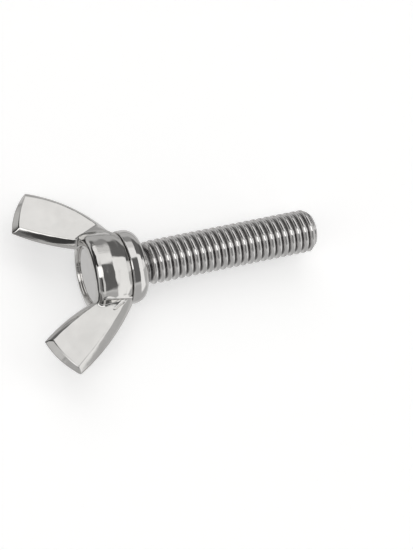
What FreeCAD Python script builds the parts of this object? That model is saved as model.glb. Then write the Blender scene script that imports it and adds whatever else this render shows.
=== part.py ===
import FreeCAD, Part
import math
import os

# Wing screw M6 x 25. Lengths in millimetres.
# Frame: origin on the thread axis in the plane of the collar's bearing face.
# +X runs along the thread to its tip, the wings spread along Y, +Z is up
# when the screw lies on a table.

# Thread
PITCH = 1.0
CREST_R = 2.95
ROOT_R = 2.34
LENGTH = 25.3
CREST_HALF = 0.19
CREST_ROUND = 0.17
RIDGE_SINK = 0.09
RIDGE_UNDER = 0.25
THREAD_START = 37.0
TIP_CHAMFER = 0.80
TIP_EDGE = 0.06
RUNOUT_START = 0.22
RUNOUT_END = 1.5
RUNOUT_STEP = 0.12

# Plain neck under the collar
NECK_R = 2.55
NECK_END = 0.10

# Stud head, seated in the counterbore of the wing head
HEAD_R = 3.82
HEAD_TOP = -7.00
HEAD_SEAT = -4.20
HEAD_EDGE = 0.12
HEAD_PLAY = 0.03

# Collar ring
COLLAR_R = 4.95
COLLAR_BACK = -2.40
COLLAR_NOSE = 1.60
COLLAR_BORE_R = 2.62
COLLAR_FLAT_R = 3.80
COLLAR_BACK_EDGE = 0.12

# Hub of the wing head: plain band, slightly tapered band, steeper band at the collar
HUB_TOP = -7.35
HUB_R = 5.28
LIP_ROUND = 1.00
HUB_CREASE_X = -4.87
REAR_CREASE_X = -3.20
REAR_CREASE_R = 5.05
HUB_FACE = -2.49
HUB_FACE_R = 4.75
RECESS_R = HEAD_R + HEAD_PLAY
RECESS_BREAK = 0.08
SHANK_HOLE_R = NECK_R + HEAD_PLAY

# Wings: half thickness at two stations, thinner towards the tip
HALF_ROOT = 1.45
HALF_TIP = 0.80
ROOT_X = -4.00
TIP_X = -14.30

# Wings: outline of the broad faces and the fuller outline at mid thickness
FACE_INNER = ((-6.3, 4.2), (-10.4, 6.0), (-14.2, 8.2))
FACE_TIP = (-13.38, 10.42)
FACE_OUTER = ((-12.2, 12.4), (-7.2, 9.5), (-3.2, 4.6))
MID_INNER = ((-6.7, 3.7), (-10.9, 5.3), (-15.15, 7.85))
MID_TIP = (-13.95, 10.72)
MID_OUTER = ((-11.9, 13.1), (-6.3, 9.75), (-2.1, 4.75))

# The wing on the -Y side is slimmer along the middle of its outer edge
SLIM_FACE_OUTER = ((-12.2, 12.4), (-7.7, 8.93), (-3.2, 4.6))
SLIM_MID_OUTER = ((-11.9, 13.1), (-6.58, 9.42), (-2.1, 4.75))


def vec(x, y, z=0.0):
    return FreeCAD.Vector(x, y, z)


def revolve(points):
    """Solid of revolution about X from (x, r) corners and arc triples."""
    edges = []
    last = None
    for item in points:
        if len(item) == 3:
            mid, end = item[1], item[2]
            edges.append(Part.Arc(vec(*last), vec(*mid), vec(*end)).toShape())
            last = end
        else:
            if last is not None:
                edges.append(Part.makeLine(vec(*last), vec(*item)))
            last = item
    edges.append(Part.makeLine(vec(*last), vec(*points[0])))
    face = Part.Face(Part.Wire(edges))
    return face.revolve(vec(0, 0), vec(1, 0), 360)


def ring(x0, x1, radius):
    """Cylinder about X between two stations."""
    return Part.makeCylinder(radius, x1 - x0, vec(x0, 0, 0), vec(1, 0, 0))


def half_thickness(x):
    """Half thickness of a wing at station x."""
    return HALF_ROOT + (HALF_TIP - HALF_ROOT) * (x - ROOT_X) / (TIP_X - ROOT_X)


def wing_outline(inner, tip, outer, level, side):
    """Closed wire of one outline: level -1, 0 and 1 are low, mid and high."""
    def at(point):
        x, y = point
        return vec(x, side * y, level * half_thickness(x))

    edges = [
        Part.Arc(at(inner[0]), at(inner[1]), at(inner[2])).toShape(),
        Part.Arc(at(inner[2]), at(tip), at(outer[0])).toShape(),
        Part.Arc(at(outer[0]), at(outer[1]), at(outer[2])).toShape(),
        Part.makeLine(at(outer[2]), at(inner[0])),
    ]
    return Part.Wire(edges)


def wing(side):
    """One wing: flat broad faces, sides and tip swelling to mid thickness."""
    face_outer = FACE_OUTER if side > 0 else SLIM_FACE_OUTER
    mid_outer = MID_OUTER if side > 0 else SLIM_MID_OUTER
    low = wing_outline(FACE_INNER, FACE_TIP, face_outer, -1, side)
    mid = wing_outline(MID_INNER, MID_TIP, mid_outer, 0, side)
    top = wing_outline(FACE_INNER, FACE_TIP, face_outer, 1, side)
    return Part.makeLoft([low, mid, top], True, False)


def hub():
    """Hub of three bands with a rounded lip, before boring."""
    lip_x = HUB_TOP + LIP_ROUND
    mid = math.radians(45)
    lip_mid = (
        lip_x - LIP_ROUND * math.sin(mid),
        HUB_R - LIP_ROUND + LIP_ROUND * math.cos(mid),
    )
    return revolve([
        (HUB_FACE, 0.0),
        (HUB_FACE, HUB_FACE_R),
        (REAR_CREASE_X, REAR_CREASE_R),
        (HUB_CREASE_X, HUB_R),
        (lip_x, HUB_R),
        ("arc", lip_mid, (HUB_TOP, HUB_R - LIP_ROUND)),
        (HUB_TOP, 0.0),
    ])


def wing_head():
    """Forged hub and wings, bored for the shank and counterbored for its head."""
    body = hub()
    for side in (1, -1):
        body = body.fuse(wing(side))
    body = body.removeSplitter()
    bore = revolve([
        (HUB_FACE + 1.0, 0.0),
        (HUB_FACE + 1.0, SHANK_HOLE_R),
        (HEAD_SEAT, SHANK_HOLE_R),
        (HEAD_SEAT, RECESS_R),
        (HUB_TOP + RECESS_BREAK, RECESS_R),
        (HUB_TOP, RECESS_R + RECESS_BREAK),
        (HUB_TOP - 1.0, RECESS_R + RECESS_BREAK),
        (HUB_TOP - 1.0, 0.0),
    ])
    clear = ring(HUB_FACE, HUB_FACE + 3.0, HUB_R + 3.0)
    return body.cut(bore).cut(clear)


def thread_ridge():
    """Helical ridge with 60 degree flanks and a rounded crest, along X."""
    helix = Part.makeHelix(PITCH, LENGTH + 2.0 * PITCH, ROOT_R)
    base_r = ROOT_R - RIDGE_SINK
    shoulder_r = CREST_R - CREST_ROUND
    base_half = CREST_HALF + (shoulder_r - base_r) * math.tan(math.radians(30))
    base_low = vec(base_r, 0, -base_half)
    crest_low = vec(shoulder_r, 0, -CREST_HALF)
    crest = vec(CREST_R, 0, 0)
    crest_high = vec(shoulder_r, 0, CREST_HALF)
    base_high = vec(base_r, 0, base_half)
    profile = Part.Wire([
        Part.makeLine(base_low, crest_low),
        Part.Arc(crest_low, crest, crest_high).toShape(),
        Part.makeLine(crest_high, base_high),
        Part.makeLine(base_high, base_low),
    ])
    ridge = Part.Wire(helix).makePipeShell([profile], True, True)
    ridge.rotate(vec(0, 0), vec(0, 1, 0), 90)
    ridge.translate(vec(-PITCH, 0, 0))
    ridge.rotate(vec(0, 0), vec(1, 0, 0), THREAD_START)
    return ridge


def threaded_stud():
    """Round head, plain neck and rolled thread in one piece."""
    core = revolve([
        (HEAD_TOP, 0.0),
        (HEAD_TOP, HEAD_R - HEAD_EDGE),
        (HEAD_TOP + HEAD_EDGE, HEAD_R),
        (HEAD_SEAT, HEAD_R),
        (HEAD_SEAT, NECK_R),
        (NECK_END, NECK_R),
        (RUNOUT_START, ROOT_R),
        (LENGTH - TIP_EDGE, ROOT_R),
        (LENGTH, ROOT_R - TIP_EDGE),
        (LENGTH, 0.0),
    ])
    envelope = revolve([
        (RUNOUT_START, ROOT_R - RIDGE_UNDER),
        (RUNOUT_START, ROOT_R + RUNOUT_STEP),
        (RUNOUT_END, CREST_R + RUNOUT_STEP),
        (LENGTH - TIP_CHAMFER, CREST_R + TIP_EDGE),
        (LENGTH - TIP_EDGE, ROOT_R - TIP_EDGE),
        (LENGTH - TIP_EDGE, ROOT_R - RIDGE_UNDER),
    ])
    envelope.rotate(vec(0, 0), vec(1, 0, 0), THREAD_START + 64.0)
    ridge = thread_ridge().common(envelope)
    return core.fuse(ridge)


def collar():
    """Ring with a flat back and a round nose towards the thread."""
    nose_x = -COLLAR_NOSE
    mid_a = math.radians(45)
    flat_drop = COLLAR_R - COLLAR_FLAT_R
    arc_mid = (
        nose_x + COLLAR_NOSE * math.sin(mid_a),
        COLLAR_FLAT_R + flat_drop * math.cos(mid_a),
    )
    return revolve([
        (COLLAR_BACK, COLLAR_BORE_R),
        (COLLAR_BACK, COLLAR_R - COLLAR_BACK_EDGE),
        (COLLAR_BACK + COLLAR_BACK_EDGE, COLLAR_R),
        (nose_x, COLLAR_R),
        ("arc", arc_mid, (0.0, COLLAR_FLAT_R)),
        (0.0, COLLAR_BORE_R),
    ])


def write(name, shape):
    """Export one piece as a STEP file."""
    shape.exportStep(os.path.join("parts", name + ".step"))


os.makedirs("parts", exist_ok=True)
write("wing_head", wing_head())
write("threaded_stud", threaded_stud())
write("collar", collar())
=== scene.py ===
import bmesh
import bpy
import math
import numpy as np
from mathutils import Matrix, Vector


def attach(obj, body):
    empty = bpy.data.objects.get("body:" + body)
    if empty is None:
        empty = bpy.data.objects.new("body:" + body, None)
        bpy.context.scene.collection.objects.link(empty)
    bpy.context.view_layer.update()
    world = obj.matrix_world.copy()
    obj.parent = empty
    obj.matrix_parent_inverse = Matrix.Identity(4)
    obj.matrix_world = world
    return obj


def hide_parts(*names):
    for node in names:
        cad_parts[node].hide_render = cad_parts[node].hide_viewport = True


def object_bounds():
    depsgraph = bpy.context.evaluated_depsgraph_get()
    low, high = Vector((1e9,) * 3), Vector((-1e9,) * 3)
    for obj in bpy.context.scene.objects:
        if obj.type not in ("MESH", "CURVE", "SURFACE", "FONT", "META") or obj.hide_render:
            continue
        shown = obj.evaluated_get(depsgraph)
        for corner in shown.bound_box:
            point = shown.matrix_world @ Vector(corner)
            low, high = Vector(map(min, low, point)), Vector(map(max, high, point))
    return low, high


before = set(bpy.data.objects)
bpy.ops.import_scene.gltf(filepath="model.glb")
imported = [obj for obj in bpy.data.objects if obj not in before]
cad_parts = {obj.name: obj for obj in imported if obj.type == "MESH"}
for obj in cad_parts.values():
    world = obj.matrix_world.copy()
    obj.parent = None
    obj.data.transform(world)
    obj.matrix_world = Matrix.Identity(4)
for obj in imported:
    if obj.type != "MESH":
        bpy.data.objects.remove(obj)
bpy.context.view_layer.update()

MM = 0.001

# Thread, as in the CAD model
PITCH = 1.0
CREST_R = 2.95
ROOT_R = 2.34
LENGTH = 25.3
HEAD_TOP = -7.0
HEAD_R = 3.82
NECK_R = 2.55
THREAD_FADE = 0.6
THREAD_FROM = 0.25
THREAD_RUNOUT = 1.2
THREAD_PHASE = 0.37
RIDGE_POWER = 2.4
TIP_SLOPE = 0.85
TIP_DROP = 0.06
STUD_STEPS = 128
STEPS_PER_PITCH = 18

# Collar
COLLAR_R = 4.95
COLLAR_BACK = -2.4
COLLAR_BORE_R = 2.62
NOSE = 1.60
NOSE_FLAT_R = 3.80
BACK_EDGE = 0.16
BORE_BREAK = 0.12
NOSE_BREAK = 0.10
COLLAR_STEPS = 160

# Hub
HUB_FACE = -2.49
HUB_TOP = -7.35
HUB_R = 5.28
HUB_CREASE = -4.87
HUB_TAPER = 0.14
REAR_CREASE = -3.20
REAR_R = 5.05
REAR_TAPER = 0.42
LIP_ROUND = 1.05
RECESS_R = 3.85
SEAT = -4.2
MOUTH_ROUND = 0.16
SHANK_PLAY = 0.03

# Wings: half thickness at two stations, and outlines of the broad faces and
# of the fuller line at mid thickness (inner side, tip, outer side)
HALF_ROOT = 1.45
HALF_TIP = 0.80
ROOT_X = -4.0
TIP_X = -14.3
FACE_INNER = ((-6.3, 4.2), (-10.4, 6.0), (-14.2, 8.2))
FACE_TIP = (-13.38, 10.42)
FACE_OUTER = ((-12.2, 12.4), (-7.2, 9.5), (-3.2, 4.6))
MID_INNER = ((-6.7, 3.7), (-10.9, 5.3), (-15.15, 7.85))
MID_TIP = (-13.95, 10.72)
MID_OUTER = ((-11.9, 13.1), (-6.3, 9.75), (-2.1, 4.75))
SLIM_FACE_OUTER = ((-12.2, 12.4), (-7.7, 8.93), (-3.2, 4.6))
SLIM_MID_OUTER = ((-11.9, 13.1), (-6.58, 9.42), (-2.1, 4.75))
WING_MIDDLE = (-11.4, 8.9)
ROOT_FILLET = 0.30
# Root of the +Y wing: it thickens towards the hub from a line across the broad face
ROOT_LINE = (-8.02, 4.76)
ROOT_LINE_NORMAL = (0.369, -0.929)
ROOT_SLOPE = 0.70
ROOT_REACH = 3.0
# Forging fold at the root of one wing: ends of a ridge and of a groove, radius
FOLD_RIDGE = ((-6.4, -4.6, 2.5), (-2.8, -4.85, 1.5), 0.20)
FOLD_GROOVE = ((-5.36, -5.89, 1.42), (-3.63, -5.05, 1.50), 0.16)
HAND_FINISH = 0.016
SIDE_CREST = 0.80
TIP_CREST = 0.08
FLASH = 0.05
FLASH_HALF = 0.09
GRID = 0.12
MIN_HALF = 0.5
MAX_DRAFT = 1.3
WING_START = 1.5
WING_EDGE = 0.07
# Scales that keep the wings' field close to a true distance
SIDE_SCALE = 0.80
FACE_SCALE = 0.90


def mesh_object(name, verts, faces, body, replaced):
    """Mesh piece in metres that rides on a body and stands for a CAD node."""
    mesh = bpy.data.meshes.new(name)
    verts = np.asarray(verts, dtype=np.float64) * MM
    mesh.from_pydata(verts.tolist(), [], [tuple(f) for f in np.asarray(faces).tolist()])
    mesh.validate()
    mesh.update()
    mesh.shade_smooth()
    obj = bpy.data.objects.new(name, mesh)
    bpy.context.scene.collection.objects.link(obj)
    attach(obj, body)
    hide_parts(replaced)
    return obj


def lathe(profile, steps):
    """Closed ring of quads from a closed (x, r) profile turned about X."""
    profile = np.asarray(profile, float)
    count = len(profile)
    angle = np.linspace(0, 2 * np.pi, steps, endpoint=False)
    x = np.repeat(profile[None, :, 0], steps, 0)
    y = np.cos(angle)[:, None] * profile[None, :, 1]
    z = np.sin(angle)[:, None] * profile[None, :, 1]
    verts = np.stack([x, y, z], -1).reshape(-1, 3)
    i, j = np.meshgrid(np.arange(steps), np.arange(count), indexing="ij")
    i2, j2 = (i + 1) % steps, (j + 1) % count
    faces = np.stack([i * count + j, i * count + j2, i2 * count + j2, i2 * count + j], -1)
    return verts, faces.reshape(-1, 4)


# ---------------------------------------------------------------- wing head

def circle_through(a, b, c):
    """Centre and radius of the circle through three points."""
    (ax, ay), (bx, by), (cx, cy) = a, b, c
    d = 2 * (ax * (by - cy) + bx * (cy - ay) + cx * (ay - by))
    sa, sb, sc = ax * ax + ay * ay, bx * bx + by * by, cx * cx + cy * cy
    ux = (sa * (by - cy) + sb * (cy - ay) + sc * (ay - by)) / d
    uy = (sa * (cx - bx) + sb * (ax - cx) + sc * (bx - ax)) / d
    return ux, uy, math.hypot(ax - ux, ay - uy)


def arc_side(x, y, points):
    """Signed distance to the circle through three points, negative on the wing's side."""
    cx, cy, radius = circle_through(*points)
    inside = math.hypot(WING_MIDDLE[0] - cx, WING_MIDDLE[1] - cy) < radius
    d = np.hypot(x - cx, y - cy) - radius
    return d if inside else -d


def draft(z, half, crest):
    """0 at the parting line, 1 at the broad face, rounded over the crest."""
    level = np.sqrt(z * z + crest * crest) - crest
    return level / (np.sqrt(half * half + crest * crest) - crest)


def drafted_side(x, y, q, mid, face):
    """Side that runs from its mid outline to its face outline as q goes 0 to 1."""
    return arc_side(x, y, mid) * (1 - q) + arc_side(x, y, face) * q


def smooth_max(a, b, k):
    """Larger of two fields, rounded where they are within k of each other."""
    h = np.clip(0.5 + 0.5 * (a - b) / k, 0, 1)
    return b + (a - b) * h + k * h * (1 - h)


def smooth_min(a, b, k):
    """Smaller of two fields, rounded in the same way."""
    return -smooth_max(-a, -b, k)


def along_segment(x, y, z, start, end, radius):
    """Distance to a round bar between two points."""
    ax, ay, az = np.subtract(end, start)
    px, py, pz = x - start[0], y - start[1], z - start[2]
    t = np.clip((px * ax + py * ay + pz * az) / (ax * ax + ay * ay + az * az), 0, 1)
    return np.sqrt((px - t * ax) ** 2 + (py - t * ay) ** 2 + (pz - t * az) ** 2) - radius


def head_field(p):
    """Distance-like field of the forging, negative inside the metal."""
    x, y, z = p[..., 0], p[..., 1], p[..., 2]
    r = np.sqrt(y * y + z * z)
    # hub: a plain band, a slightly tapered one and a steeper one by the collar
    belly = smooth_min(HUB_R, HUB_R - HUB_TAPER * (x - HUB_CREASE), 0.02)
    belly = smooth_min(belly, REAR_R - REAR_TAPER * (x - REAR_CREASE), 0.06)
    hub = smooth_max(r - belly, HUB_TOP - x, LIP_ROUND)
    hub = smooth_max(hub, x - HUB_FACE, 0.10)
    hub = hub + HAND_FINISH * np.sin(1.9 * y + 2.6 * x) * np.sin(2.3 * z - 1.4 * x + 1.1 * y)
    # wings: flat broad faces, sides drafted from a parting line at mid thickness
    ay = np.abs(y)
    half = HALF_ROOT + (HALF_TIP - HALF_ROOT) * (x - ROOT_X) / (TIP_X - ROOT_X)
    half = np.maximum(half, MIN_HALF)
    q = np.minimum(draft(z, half, SIDE_CREST), MAX_DRAFT)
    q_tip = np.minimum(draft(z, half, TIP_CREST), MAX_DRAFT)
    flash = FLASH * np.exp(-(z / FLASH_HALF) ** 2)
    inner = drafted_side(x, ay, q, MID_INNER, FACE_INNER) * SIDE_SCALE
    full = drafted_side(x, ay, q, MID_OUTER, FACE_OUTER)
    slim = drafted_side(x, ay, q, SLIM_MID_OUTER, SLIM_FACE_OUTER)
    outer = np.where(y > 0, full, slim) * SIDE_SCALE
    mid_tip = (MID_INNER[2], MID_TIP, MID_OUTER[0])
    face_tip = (FACE_INNER[2], FACE_TIP, FACE_OUTER[0])
    tip = drafted_side(x, ay, q_tip, mid_tip, face_tip) * SIDE_SCALE
    side = smooth_max(np.maximum(inner, outer) - flash, tip - 0.5 * flash, 0.05)
    side = np.maximum(side, WING_START - ay)
    past = ROOT_LINE_NORMAL[0] * (x - ROOT_LINE[0])
    past = past + ROOT_LINE_NORMAL[1] * (y - ROOT_LINE[1])
    rise = ROOT_SLOPE * np.clip(past, 0, ROOT_REACH)
    half = half + np.where(y > 0, rise, 0.0)
    wings = smooth_max(side, (np.abs(z) - half) * FACE_SCALE, WING_EDGE)
    body = smooth_min(hub, wings, ROOT_FILLET)
    body = smooth_min(body, along_segment(x, y, z, *FOLD_RIDGE), 0.15)
    body = smooth_max(body, -along_segment(x, y, z, *FOLD_GROOVE), 0.08)
    body = np.maximum(body, x - HUB_FACE)
    # counterbore with a broken edge, and the shank hole
    mouth = smooth_max(body, RECESS_R - r, MOUTH_ROUND)
    body = np.where(x < SEAT, mouth, body)
    body = np.maximum(body, -np.maximum(r - RECESS_R, x - SEAT))
    body = np.maximum(body, -(r - (NECK_R + SHANK_PLAY)))
    return body


def surface_nets(field, low, high, step):
    """Quads of the zero surface of a field on a regular grid."""
    axes = [np.arange(low[k], high[k] + step, step) for k in range(3)]
    gx, gy, gz = np.meshgrid(*axes, indexing="ij")
    pts = np.stack([gx, gy, gz], -1)
    val = field(pts)
    sign = val < 0
    shape = tuple(n - 1 for n in val.shape)
    total = np.zeros(shape + (3,))
    count = np.zeros(shape)
    corners = [(i, j, k) for i in (0, 1) for j in (0, 1) for k in (0, 1)]

    def cut(a, o):
        """The grid's values at one corner of every cell."""
        return a[tuple(slice(o[k], a.shape[k] - 1 + o[k]) for k in range(3))]

    for a in corners:
        for axis in range(3):
            if a[axis]:
                continue
            b = tuple(1 if k == axis else a[k] for k in range(3))
            va, vb = cut(val, a), cut(val, b)
            hit = (va < 0) != (vb < 0)
            t = np.where(hit, va / np.where(hit, va - vb, 1), 0)
            for k in range(3):
                total[..., k] += hit * (a[k] + (t if k == axis else 0))
            count += hit
    active = count > 0
    index = np.full(shape, -1, int)
    index[active] = np.arange(active.sum())
    cell = np.argwhere(active)
    local = total[active] / count[active][:, None]
    verts = np.array(low) + (cell + local) * step
    faces = []
    for axis in range(3):
        u, v = (axis + 1) % 3, (axis + 2) % 3
        sl_a = [slice(1, n - 1) for n in val.shape]
        sl_b = list(sl_a)
        sl_a[axis] = slice(0, val.shape[axis] - 1)
        sl_b[axis] = slice(1, val.shape[axis])
        sa, sb = sign[tuple(sl_a)], sign[tuple(sl_b)]
        for inside_first in (True, False):
            mask = (sa & ~sb) if inside_first else (~sa & sb)
            c = np.argwhere(mask)
            base = c.copy()
            for k in range(3):
                if k != axis:
                    base[:, k] += 1
            quad = []
            for du, dv in ((1, 1), (0, 1), (0, 0), (1, 0)):
                q = base.copy()
                q[:, u] -= du
                q[:, v] -= dv
                quad.append(index[q[:, 0], q[:, 1], q[:, 2]])
            quad = np.stack(quad, -1)
            faces.append(quad if inside_first else quad[:, ::-1])
    return verts, np.concatenate(faces)


def relax(field, verts, rounds=3):
    """Pull the vertices onto the zero surface along the field's slope."""
    h = 0.01
    for _ in range(rounds):
        val = field(verts)
        slopes = [(field(verts + d) - field(verts - d)) / (2 * h) for d in np.eye(3) * h]
        grad = np.stack(slopes, -1)
        size = np.maximum((grad ** 2).sum(-1), 0.05)
        move = -(val / size)[:, None] * grad
        length = np.linalg.norm(move, axis=-1, keepdims=True)
        verts = verts + move * np.minimum(1, 0.05 / np.maximum(length, 1e-9))
    return verts


verts, faces = surface_nets(head_field, (-16.0, -14.2, -5.8), (-2.1, 14.2, 5.8), GRID)
verts = relax(head_field, verts)
head = mesh_object("wing_forging", verts, faces, "screw", "wing_head")

# ------------------------------------------------------------------- collar


def nose_profile():
    """Closed (x, r) outline of the collar: flat back, round nose."""
    pts = [
        (COLLAR_BACK + BORE_BREAK, COLLAR_BORE_R),
        (-NOSE_BREAK, COLLAR_BORE_R),
        (0.0, COLLAR_BORE_R + NOSE_BREAK),
        (0.0, NOSE_FLAT_R),
    ]
    drop = COLLAR_R - NOSE_FLAT_R
    for t in np.linspace(0, math.pi / 2, 26)[1:]:
        pts.append((-NOSE + NOSE * math.cos(t), NOSE_FLAT_R + drop * math.sin(t)))
    pts += [(-1.8, COLLAR_R), (-2.1, COLLAR_R)]
    for t in np.linspace(0, math.pi / 2, 7):
        x = COLLAR_BACK + BACK_EDGE - BACK_EDGE * math.sin(t)
        pts.append((x, COLLAR_R - BACK_EDGE + BACK_EDGE * math.cos(t)))
    pts += [(COLLAR_BACK, r) for r in (4.2, 3.4, COLLAR_BORE_R + BORE_BREAK)]
    return pts


v, f = lathe(nose_profile(), COLLAR_STEPS)
collar = mesh_object("round_collar", v, f, "collar", "collar")

# ------------------------------------------------------------- threaded stud

def thread_radius(phase, x):
    """Radius of the rolled thread at a phase of its pitch and a station."""
    u = np.abs((phase % 1.0) - 0.5) * 2
    height = np.clip(1.0 - np.clip((u - 0.02) / 0.96, 0, 1) ** RIDGE_POWER, 0, 1)
    r = ROOT_R + (CREST_R - ROOT_R) * height
    run = np.clip((x - THREAD_FROM) / THREAD_RUNOUT, 0, 1)
    return ROOT_R + (r - ROOT_R) * run


def build_stud():
    """Vertices and quads of the stud: head, neck, thread and tip as one skin."""
    around = STUD_STEPS
    n = int((LENGTH - THREAD_FROM) * STEPS_PER_PITCH)
    xs = np.linspace(THREAD_FROM, LENGTH, n)
    angle = np.linspace(0, 2 * np.pi, around, endpoint=False)
    a, x = np.meshgrid(angle, xs, indexing="ij")
    r = thread_radius(x / PITCH - a / (2 * np.pi) + THREAD_PHASE, x)
    chamfer = ROOT_R - TIP_DROP + (LENGTH - x) * TIP_SLOPE
    r = np.where(r > chamfer, chamfer, r)
    left = [(HEAD_TOP, r) for r in (0.0, 1.5, 3.0, HEAD_R - 0.12)]
    left += [(HEAD_TOP + 0.035, HEAD_R - 0.035), (HEAD_TOP + 0.12, HEAD_R)]
    left += [(SEAT, HEAD_R), (SEAT, NECK_R), (0.10, NECK_R), (0.18, NECK_R - 0.1)]
    left = np.array(left)
    xx = np.concatenate([np.repeat(left[None, :, 0], around, 0), x], 1)
    rr = np.concatenate([np.repeat(left[None, :, 1], around, 0), r], 1)
    end = np.array([(LENGTH, 2.0), (LENGTH, 1.0), (LENGTH, 0.0)])
    xx = np.concatenate([xx, np.repeat(end[None, :, 0], around, 0)], 1)
    rr = np.concatenate([rr, np.repeat(end[None, :, 1], around, 0)], 1)
    m = xx.shape[1]
    y = np.cos(angle)[:, None] * rr
    z = np.sin(angle)[:, None] * rr
    verts = np.stack([xx, y, z], -1).reshape(-1, 3)
    i, j = np.meshgrid(np.arange(around), np.arange(m - 1), indexing="ij")
    i2 = (i + 1) % around
    faces = np.stack([i * m + j, i2 * m + j, i2 * m + j + 1, i * m + j + 1], -1)
    return verts, faces.reshape(-1, 4)


v, f = build_stud()
stud = mesh_object("rolled_stud", v, f[:, ::-1], "screw", "threaded_stud")
for o in (stud, collar):
    bm = bmesh.new()
    bm.from_mesh(o.data)
    bmesh.ops.remove_doubles(bm, verts=bm.verts, dist=1e-7)
    bmesh.ops.recalc_face_normals(bm, faces=bm.faces)
    bm.to_mesh(o.data)
    bm.free()
    o.data.shade_smooth()

# ---------------------------------------------------------------- materials

def grinding_marks(nt, coord, height, depth):
    """Adds short parallel scratches to a height, on top of the hub only."""
    stretch = nt.nodes.new("ShaderNodeMapping")
    stretch.inputs["Rotation"].default_value = (0.0, 0.0, math.radians(35))
    stretch.inputs["Scale"].default_value = (500, 7000, 500)
    nt.links.new(coord.outputs["Object"], stretch.inputs["Vector"])
    marks = nt.nodes.new("ShaderNodeTexNoise")
    marks.inputs["Scale"].default_value = 1.0
    marks.inputs["Detail"].default_value = 3.0
    nt.links.new(stretch.outputs["Vector"], marks.inputs["Vector"])
    split = nt.nodes.new("ShaderNodeSeparateXYZ")
    nt.links.new(coord.outputs["Object"], split.inputs["Vector"])
    total = marks.outputs["Fac"]
    limits = (("Z", 4.6, 5.0), ("X", -6.9, -6.5), ("X", -4.2, -4.7), ("Y", -0.3, 0.3))
    for axis, start, full in limits:
        fade = nt.nodes.new("ShaderNodeMapRange")
        fade.inputs["From Min"].default_value = start * MM
        fade.inputs["From Max"].default_value = full * MM
        nt.links.new(split.outputs[axis], fade.inputs["Value"])
        times = nt.nodes.new("ShaderNodeMath")
        times.operation = "MULTIPLY"
        nt.links.new(total, times.inputs[0])
        nt.links.new(fade.outputs["Result"], times.inputs[1])
        total = times.outputs[0]
    add = nt.nodes.new("ShaderNodeMath")
    add.operation = "MULTIPLY_ADD"
    nt.links.new(total, add.inputs[0])
    add.inputs[1].default_value = depth
    nt.links.new(height, add.inputs[2])
    return add.outputs[0]


def steel(name, colour, rough, bump, scale, mottled, ground=0.0):
    """Polished steel with uneven colour and gloss, fine bumps and optional grinding."""
    mat = bpy.data.materials.new(name)
    mat.use_nodes = True
    nt = mat.node_tree
    bsdf = nt.nodes["Principled BSDF"]
    bsdf.inputs["Metallic"].default_value = 1.0
    coord = nt.nodes.new("ShaderNodeTexCoord")
    noise = nt.nodes.new("ShaderNodeTexNoise")
    noise.inputs["Scale"].default_value = scale
    noise.inputs["Detail"].default_value = 6.0
    nt.links.new(coord.outputs["Object"], noise.inputs["Vector"])
    ramp = nt.nodes.new("ShaderNodeValToRGB")
    ramp.color_ramp.elements[0].position = 0.3
    ramp.color_ramp.elements[1].position = 0.7
    ramp.color_ramp.elements[0].color = tuple(c * (1 - mottled) for c in colour) + (1,)
    ramp.color_ramp.elements[1].color = tuple(colour) + (1,)
    nt.links.new(noise.outputs["Fac"], ramp.inputs["Fac"])
    nt.links.new(ramp.outputs["Color"], bsdf.inputs["Base Color"])
    rr = nt.nodes.new("ShaderNodeMapRange")
    rr.inputs["To Min"].default_value = rough * 0.7
    rr.inputs["To Max"].default_value = rough * 1.4
    nt.links.new(noise.outputs["Fac"], rr.inputs["Value"])
    nt.links.new(rr.outputs["Result"], bsdf.inputs["Roughness"])
    fine = nt.nodes.new("ShaderNodeTexNoise")
    fine.inputs["Scale"].default_value = scale * 2.5
    fine.inputs["Detail"].default_value = 4.0
    nt.links.new(coord.outputs["Object"], fine.inputs["Vector"])
    bp = nt.nodes.new("ShaderNodeBump")
    bp.inputs["Strength"].default_value = bump
    bp.inputs["Distance"].default_value = 0.00005
    height = fine.outputs["Fac"]
    if ground:
        height = grinding_marks(nt, coord, height, ground)
    nt.links.new(height, bp.inputs["Height"])
    nt.links.new(bp.outputs["Normal"], bsdf.inputs["Normal"])
    return mat


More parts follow.
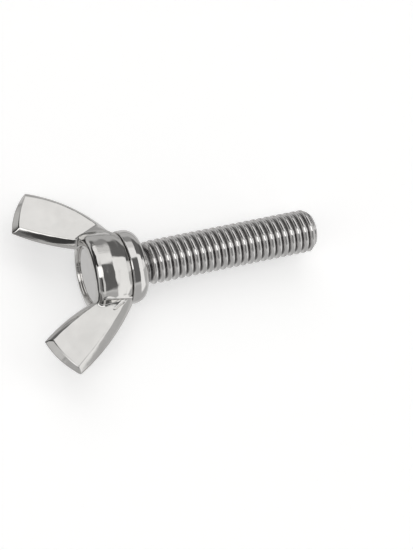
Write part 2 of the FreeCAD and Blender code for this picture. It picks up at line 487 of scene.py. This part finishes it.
def paint_root_shade(mat, root, crest, painted_dark):
    """Paints shade into the colour between the thread's crests, by distance from its axis.

    It fades out at both ends of the thread, so the stud's head and tip keep theirs.
    """
    nt = mat.node_tree
    bsdf = nt.nodes["Principled BSDF"]
    colour = bsdf.inputs["Base Color"].links[0].from_socket
    coord = nt.nodes.new("ShaderNodeTexCoord")
    split = nt.nodes.new("ShaderNodeSeparateXYZ")
    nt.links.new(coord.outputs["Object"], split.inputs["Vector"])
    flat = nt.nodes.new("ShaderNodeCombineXYZ")
    nt.links.new(split.outputs["Y"], flat.inputs["Y"])
    nt.links.new(split.outputs["Z"], flat.inputs["Z"])
    size = nt.nodes.new("ShaderNodeVectorMath")
    size.operation = "LENGTH"
    nt.links.new(flat.outputs["Vector"], size.inputs[0])
    shade = nt.nodes.new("ShaderNodeMapRange")
    shade.inputs["From Min"].default_value = root * MM
    shade.inputs["From Max"].default_value = crest * MM
    nt.links.new(size.outputs["Value"], shade.inputs["Value"])
    from_middle = nt.nodes.new("ShaderNodeMath")
    from_middle.operation = "SUBTRACT"
    from_middle.inputs[1].default_value = LENGTH * MM / 2
    nt.links.new(split.outputs["X"], from_middle.inputs[0])
    reach = nt.nodes.new("ShaderNodeMath")
    reach.operation = "ABSOLUTE"
    nt.links.new(from_middle.outputs["Value"], reach.inputs[0])
    ends = nt.nodes.new("ShaderNodeMapRange")
    ends.inputs["From Min"].default_value = (LENGTH / 2 - THREAD_FADE) * MM
    ends.inputs["From Max"].default_value = (LENGTH / 2 - THREAD_FADE / 4) * MM
    ends.inputs["To Min"].default_value = painted_dark
    nt.links.new(reach.outputs["Value"], ends.inputs["Value"])
    nt.links.new(ends.outputs["Result"], shade.inputs["To Min"])
    shaded_colour = nt.nodes.new("ShaderNodeVectorMath")
    shaded_colour.operation = "SCALE"
    nt.links.new(colour, shaded_colour.inputs[0])
    nt.links.new(shade.outputs["Result"], shaded_colour.inputs["Scale"])
    nt.links.new(shaded_colour.outputs["Vector"], bsdf.inputs["Base Color"])


FORGED = (0.775, 0.765, 0.75)
TURNED = (0.78, 0.77, 0.76)
ROLLED = (0.77, 0.76, 0.755)
# Colour factor for the painted shade at the bottom of the thread's roots
PAINTED_ROOT_SHADE = 0.16
head.data.materials.append(steel("forged_steel", FORGED, 0.09, 0.22, 380, 0.10, ground=1.6))
collar.data.materials.append(steel("collar_steel", TURNED, 0.07, 0.2, 500, 0.04))
stud.data.materials.append(steel("thread_steel", ROLLED, 0.04, 0.03, 900, 0.05))
# Painted shade between the thread's crests, darkest at the roots
paint_root_shade(stud.data.materials[0], ROOT_R + 0.05, CREST_R - 0.20, PAINTED_ROOT_SHADE)

# -------------------------------------------------------------------- stage

low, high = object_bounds()
bpy.ops.mesh.primitive_plane_add(size=1.2, location=(0, 0, low[2]))
floor = bpy.context.object
floor.name = "floor"
fmat = bpy.data.materials.new("floor_white")
fmat.use_nodes = True
fb = fmat.node_tree.nodes["Principled BSDF"]
fb.inputs["Base Color"].default_value = (0.97, 0.97, 0.97, 1)
fb.inputs["Roughness"].default_value = 0.8
fb.inputs["Emission Color"].default_value = (1.0, 1.0, 1.0, 1)
fb.inputs["Emission Strength"].default_value = 0.39
floor.visible_glossy = False
floor.data.materials.append(fmat)

# Camera: position and axes in the object's frame
ROLL = Matrix.Rotation(math.radians(-1.9), 3, "X")
VIEW = ROLL @ Vector((0.340, 0.362, -0.868)).normalized()
RIGHT = ROLL @ Vector((0.920, -0.317, 0.228))
RIGHT = (RIGHT - VIEW * RIGHT.dot(VIEW)).normalized()
UP = RIGHT.cross(VIEW)
DISTANCE = 0.21508
OFFSET = (-0.00851, -0.00147)
AIM_X = 0.6
SENSOR = 36.0
LENS = 141.5332
cam_data = bpy.data.cameras.new("camera")
cam = bpy.data.objects.new("camera", cam_data)
bpy.context.scene.collection.objects.link(cam)
cam_data.sensor_fit = "HORIZONTAL"
cam_data.sensor_width = SENSOR
cam_data.lens = LENS
cam_data.clip_start = 0.001
place = Vector((AIM_X * MM, 0, 0)) - VIEW * DISTANCE
place = place - RIGHT * OFFSET[0] + UP * OFFSET[1]
rot = Matrix((RIGHT, UP, -VIEW)).transposed()
cam.matrix_world = Matrix.Translation(place) @ rot.to_4x4()
bpy.context.scene.camera = cam


# Studio round the object, in the standing frame of the table it lies on
TABLE_UP = Vector((-0.078, 0.44, 0.89)).normalized()
AWAY = (VIEW - TABLE_UP * VIEW.dot(TABLE_UP)).normalized()
ACROSS = AWAY.cross(TABLE_UP)

world = bpy.data.worlds.new("studio")
bpy.context.scene.world = world
world.use_nodes = True
wt = world.node_tree
background = wt.nodes["Background"]
direction = wt.nodes.new("ShaderNodeTexCoord").outputs["Generated"]


def math_node(op, *values):
    """Output of a math node fed with numbers or other outputs."""
    n = wt.nodes.new("ShaderNodeMath")
    n.operation = op
    for k, v in enumerate(values):
        if isinstance(v, (int, float)):
            n.inputs[k].default_value = v
        else:
            wt.links.new(v, n.inputs[k])
    return n.outputs[0]


def along(axis):
    """Cosine between the direction looked in and an axis."""
    n = wt.nodes.new("ShaderNodeVectorMath")
    n.operation = "DOT_PRODUCT"
    wt.links.new(direction, n.inputs[0])
    n.inputs[1].default_value = axis
    return n.outputs["Value"]


def window(value, low, high, soft):
    """Smooth 0-1 window of a value between two limits."""
    out = []
    for edge, sign in ((low, 1), (high, -1)):
        n = wt.nodes.new("ShaderNodeMapRange")
        n.interpolation_type = "SMOOTHSTEP"
        n.inputs["From Min"].default_value = edge - soft * sign
        n.inputs["From Max"].default_value = edge + soft * sign
        wt.links.new(value, n.inputs["Value"])
        out.append(n.outputs["Result"])
    return math_node("MULTIPLY", out[0], out[1])


azimuth = math_node("DEGREES", math_node("ARCTAN2", along(ACROSS), along(AWAY)))
elevation = math_node("DEGREES", math_node("ARCSINE", along(TABLE_UP)))

cosine = along((1, 0, 0))
turn = math_node("DEGREES", math_node("ARCTAN2", along((0, 0, 1)), along((0, -1, 0))))


def painted(below, value, mask):
    """Brightness with one more patch laid over it."""
    n = wt.nodes.new("ShaderNodeMix")
    wt.links.new(mask, n.inputs["Factor"])
    if isinstance(below, float):
        n.inputs["A"].default_value = below
    else:
        wt.links.new(below, n.inputs["A"])
    n.inputs["B"].default_value = value
    return n.outputs["Result"]


# az from, az to, el from, el to, soft edge in degrees, brightness.
# Azimuth 0 is away from the camera, 90 to its right, 180 behind it.
STUDIO = (
    (-200, 200, -100, 1, 2, 0.62),
    (-200, 200, 2, 30, 6, 0.08),
    (-60, 65, 3, 32, 6, 0.50),
    (38, 84, -4, 26, 3, 0.08),
    (-75, 75, 35, 50, 4, 0.14),
    (-200, 200, 53, 100, 4, 0.97),
    (70, 122, 0, 56, 3, 1.00),
    (149, 163, 0, 56, 3, 1.15),
    (-160, -120, 22, 52, 4, 1.0),
)
# Strips that run along or across the screw: cosine to the thread axis from, to,
# turn about the axis from, to (0 towards -Y, 90 up), soft edge, brightness.
STRIPS = (
    (-1.10, 0.80, -75, 6, 6, 0.48),
    (0.44, 0.80, 103, 166, 4, 0.14),
    (0.44, 0.80, -30, 102, 5, 1.00),
    (-0.30, 0.16, 0, 102, 5, 0.75),
    (-0.30, 0.16, 58, 84, 3, 1.40),
    (0.16, 0.43, 126, 150, 5, 0.70),
    (0.16, 0.43, 150, 170, 4, 0.30),
    (0.17, 0.43, 14, 92, 3, 0.13),
    (0.80, 0.93, 88, 180, 6, 0.10),
    (0.80, 0.93, 48, 86, 4, 0.85),
    (0.80, 1.10, -45, 46, 5, 0.50),
    (-0.42, -0.10, 10, 56, 4, 0.05),
    (-0.42, -0.28, 58, 84, 3, 1.55),
    (-0.84, -0.46, 4, 52, 4, 0.20),
    (-0.84, -0.44, 56, 84, 3, 1.60),
    (-0.84, -0.40, 87, 160, 3, 0.04),
    (-1.10, -0.84, 20, 104, 5, 0.64),
    (-1.10, -0.82, 107, 162, 4, 0.04),
    (-0.90, -0.34, 164, 200, 3, 0.58),
    (-0.90, -0.34, -200, -168, 3, 0.58),
    (-1.10, -0.70, -170, -60, 5, 0.05),
)
COSINE_SOFT = 0.02
BACKDROP = 0.95
level = 0.30
for az0, az1, el0, el1, soft, value in STUDIO:
    across = window(azimuth, az0, az1, soft)
    mask = math_node("MULTIPLY", across, window(elevation, el0, el1, soft))
    level = painted(level, value, mask)
for cos0, cos1, turn0, turn1, soft, value in STRIPS:
    across = window(cosine, cos0, cos1, COSINE_SOFT)
    mask = math_node("MULTIPLY", across, window(turn, turn0, turn1, soft))
    level = painted(level, value, mask)
seen = wt.nodes.new("ShaderNodeMix")
wt.links.new(wt.nodes.new("ShaderNodeLightPath").outputs["Is Camera Ray"], seen.inputs["Factor"])
wt.links.new(level, seen.inputs["A"])
seen.inputs["B"].default_value = BACKDROP
wt.links.new(seen.outputs["Result"], background.inputs["Strength"])
background.inputs["Color"].default_value = (1.0, 0.995, 0.985, 1)

bpy.context.scene.view_settings.view_transform = "Standard"
